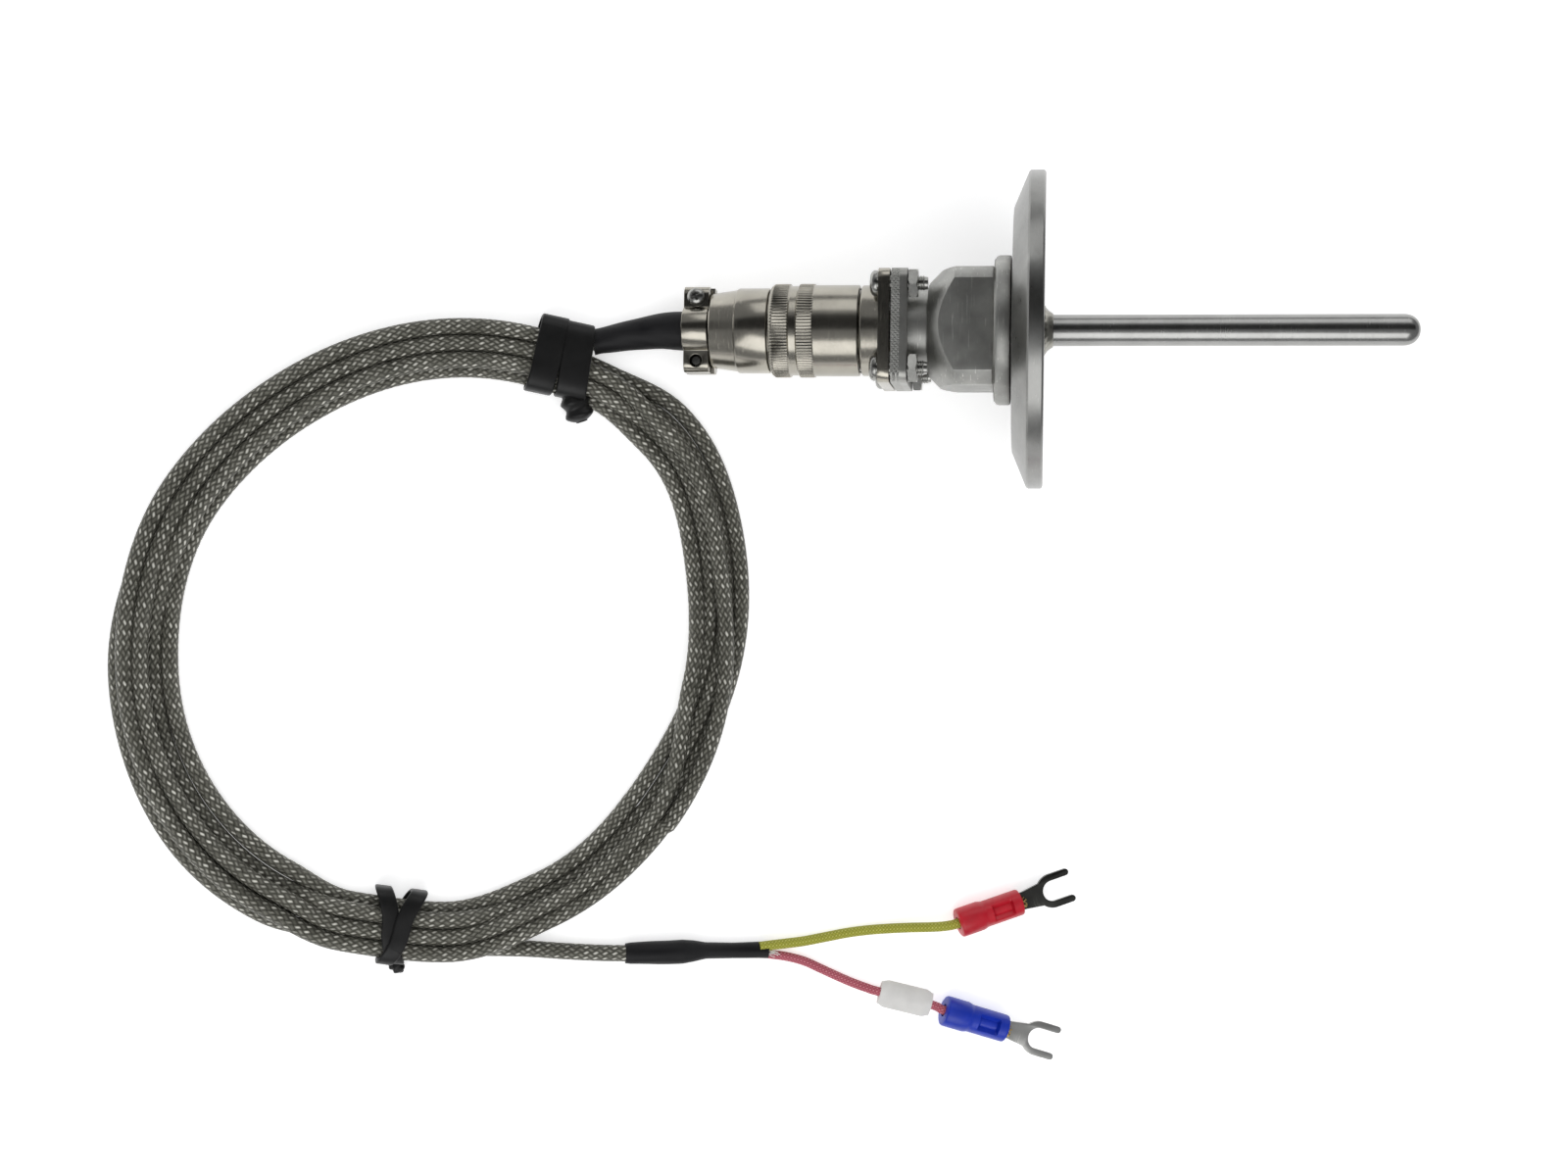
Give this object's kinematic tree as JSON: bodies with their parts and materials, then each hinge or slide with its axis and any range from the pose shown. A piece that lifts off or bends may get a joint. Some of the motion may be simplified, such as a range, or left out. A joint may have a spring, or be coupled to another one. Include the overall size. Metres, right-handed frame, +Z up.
{
  "type": "thermocouple",
  "caption": "Sanitary clamp-flange thermocouple probe with a wrench-flat adapter, a round connector, and a coiled steel-braided lead ending in insulated fork terminals.",
  "frame": {"origin": "On the ground under the middle of the probe and its plug, at the height where the flange's rim and the cable clamp rest.", "axes": "+Z up; +X along the ground from the cable towards the hot tip, which points up at about 19 degrees; the coiled lead lies on the -X, -Y side."},
  "size_m": [0.2528, 0.186, 0.0613],
  "materials": {
    "stainless": "satin ground stainless steel",
    "milled_stainless": "turned and milled stainless steel",
    "nickel_plate": "satin nickel plate",
    "fastener_steel": "plain steel fasteners",
    "contact_gold": "gold-plated brass contacts",
    "black_insert": "moulded insulator",
    "ceramic": "bisque ceramic",
    "potting_resin": "cast resin",
    "seal_rubber": "moulded rubber",
    "thermo_wire": "bare thermocouple alloy",
    "black_shrink": "heat-shrink sleeve",
    "steel_braid": "braided stainless wire",
    "coil_braid": "braided stainless wire over glass-fibre leads, wound as a coil",
    "black_tie": "vinyl twist tie",
    "yellow_glass_braid": "glass-fibre braid",
    "red_glass_braid": "glass-fibre braid",
    "white_marker": "plain marker sleeve",
    "red_vinyl": "vinyl insulation",
    "blue_vinyl": "vinyl insulation",
    "tinned_copper": "tin-plated copper"
  },
  "bodies": {
    "lead": {"plug_barrel": "nickel_plate", "retaining_ring": "fastener_steel", "plug_insert": "black_insert", "socket_contact_1": "contact_gold", "socket_contact_2": "contact_gold", "core_wire_1": "yellow_glass_braid", "core_wire_2": "red_glass_braid", "backshell": "nickel_plate", "cable_saddle": "nickel_plate", "clamp_screw_1": "fastener_steel", "clamp_screw_2": "fastener_steel", "plug_sleeve": "black_shrink", "cable_coil": "coil_braid", "tie_upper": "black_tie", "tie_lower": "black_tie", "cable_tail": "steel_braid", "split_sleeve": "black_shrink", "yellow_conductor": "yellow_glass_braid", "red_conductor": "red_glass_braid", "marker_sleeve": "white_marker", "red_conductor_end": "red_glass_braid", "red_boot": "red_vinyl", "red_fork": "tinned_copper", "blue_boot": "blue_vinyl", "blue_fork": "tinned_copper"},
    "coupling": {"coupling_ring": "nickel_plate"},
    "probe": {"process_flange": "stainless", "sheath_tube": "stainless", "sheath_weld": "stainless", "ceramic_insulator": "ceramic", "potting_plug": "potting_resin", "positive_wire": "thermo_wire", "negative_wire": "thermo_wire", "hot_junction": "thermo_wire", "adapter_body": "milled_stainless", "receptacle_shell": "nickel_plate", "face_seal": "seal_rubber", "receptacle_insert": "black_insert", "pin_contact_1": "contact_gold", "pin_contact_2": "contact_gold", "flange_screw_1": "fastener_steel", "flange_nut_1": "fastener_steel", "flange_screw_2": "fastener_steel", "flange_nut_2": "fastener_steel", "flange_screw_3": "fastener_steel", "flange_nut_3": "fastener_steel", "flange_screw_4": "fastener_steel", "flange_nut_4": "fastener_steel"}
  },
  "joints": [
    {"name": "coupling_turn", "type": "hinge", "parent": "lead", "child": "coupling", "pos_m": [-0.04294, 0, 0.01597], "axis": [0.9443, 0, 0.3291], "range_deg": [0, 90]},
    {"name": "probe_pull", "type": "slide", "parent": "lead", "child": "probe", "axis": [0.9443, 0, 0.3291], "range_m": [0, 0.02]}
  ]
}
